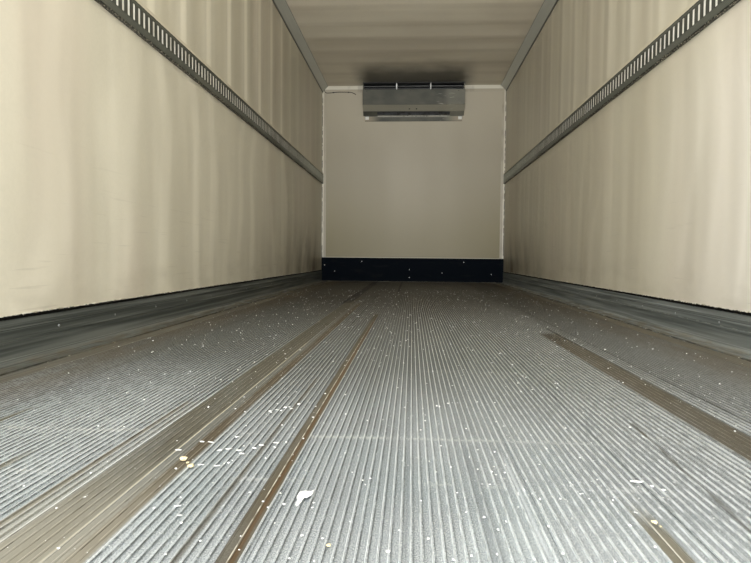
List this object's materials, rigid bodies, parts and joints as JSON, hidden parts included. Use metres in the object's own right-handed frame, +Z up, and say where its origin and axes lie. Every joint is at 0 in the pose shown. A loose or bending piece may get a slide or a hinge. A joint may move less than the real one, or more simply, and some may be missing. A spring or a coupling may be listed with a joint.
{
  "type": "refrigerated truck box body",
  "caption": "Insulated load box for a rigid truck: ribbed metal floor, load rails, kick plates, wall-mounted evaporator, nose refrigeration unit and rear doors folded open.",
  "frame": {"origin": "middle of the footprint, on the surface that the subframe runners stand on", "axes": "+Y towards the front wall (direction of travel), +X right, +Z up"},
  "size_m": [2.822, 8.58, 3.009],
  "materials": {
    "white_panel": "gel-coated skin, slightly wavy",
    "bulkhead_panel": "gel-coated skin, shaded beige",
    "white_trim": "smooth white strip",
    "deck_metal": "ribbed, scratched and stained",
    "kick_metal": "dull, dirty grey",
    "black_sheet": "matt black",
    "rail_metal": "dull mill finish",
    "cove_metal": "dull mill finish",
    "edge_metal": "satin anodised",
    "stainless": "brushed",
    "galvanised": "galvanised steel",
    "housing_metal": "scuffed grey sheet",
    "coil_fins": "close fins",
    "cowl_plastic": "moulded white",
    "dark_plastic": "moulded black",
    "engine_paint": "dark paint",
    "seal_rubber": "matt rubber",
    "cable_jacket": "black jacket",
    "clear_lens": "clear lens",
    "amber_lens": "amber lens",
    "red_lens": "red lens"
  },
  "bodies": {
    "box": {"bottom_rail_left": "edge_metal", "bottom_rail_right": "edge_metal", "bulkhead_trim": "white_trim", "cable_clips": "cable_jacket", "ceiling_cove_left": "cove_metal", "ceiling_cove_right": "cove_metal", "condenser_coil": "coil_fins", "cross_members": "galvanised", "door_stops": "seal_rubber", "evaporator_brackets": "white_trim", "evaporator_coil": "coil_fins", "evaporator_housing": "housing_metal", "evaporator_louvres": "housing_metal", "fan_guards": "dark_plastic", "fan_motors": "engine_paint", "floor_deck": "deck_metal", "floor_panel": "white_panel", "front_bottom_profile": "edge_metal", "front_corner_left": "edge_metal", "front_corner_right": "edge_metal", "front_kick_plate": "black_sheet", "front_lamps": "clear_lens", "front_wall": "bulkhead_panel", "hinge_brackets": "stainless", "kick_plate_left": "kick_metal", "kick_plate_right": "kick_metal", "load_rail_left": "rail_metal", "load_rail_right": "rail_metal", "lock_keepers": "stainless", "mounting_brackets": "galvanised", "rain_gutter": "edge_metal", "rear_buffers": "seal_rubber", "rear_frame": "stainless", "rear_lamps": "red_lens", "roof_edge_left": "edge_metal", "roof_edge_right": "edge_metal", "roof_panel": "white_panel", "sensor_cable": "cable_jacket", "side_lamps": "amber_lens", "side_wall_left": "white_panel", "side_wall_right": "white_panel", "subframe_runners": "galvanised", "unit_cowl": "cowl_plastic", "unit_engine": "engine_paint", "unit_frame": "galvanised", "unit_grille": "dark_plastic"},
    "left_door": {"door_left": "white_panel", "door_seal_left": "seal_rubber", "hinge_straps_left": "stainless", "lock_bars_left": "stainless", "lock_guides_left": "dark_plastic"},
    "right_door": {"door_right": "white_panel", "door_seal_right": "seal_rubber", "hinge_straps_right": "stainless", "lock_bars_right": "stainless", "lock_guides_right": "dark_plastic"},
    "left_fan": {"condenser_fan_left": "dark_plastic"},
    "right_fan": {"condenser_fan_right": "dark_plastic"}
  },
  "joints": [
    {"name": "left_door_hinge", "type": "hinge", "parent": "box", "child": "left_door", "pos_m": [-1.286, -4.26, 1.6], "axis": [0, 0, 1], "range_deg": [0, 270]},
    {"name": "right_door_hinge", "type": "hinge", "parent": "box", "child": "right_door", "pos_m": [1.286, -4.26, 1.6], "axis": [0, 0, 1], "range_deg": [-270, 0]},
    {"name": "left_fan_spin", "type": "hinge", "parent": "box", "child": "left_fan", "pos_m": [-0.43, 4.25, 2.692], "axis": [0, 1, 0], "continuous": true},
    {"name": "right_fan_spin", "type": "hinge", "parent": "box", "child": "right_fan", "pos_m": [0.43, 4.25, 2.692], "axis": [0, 1, 0], "continuous": true}
  ]
}
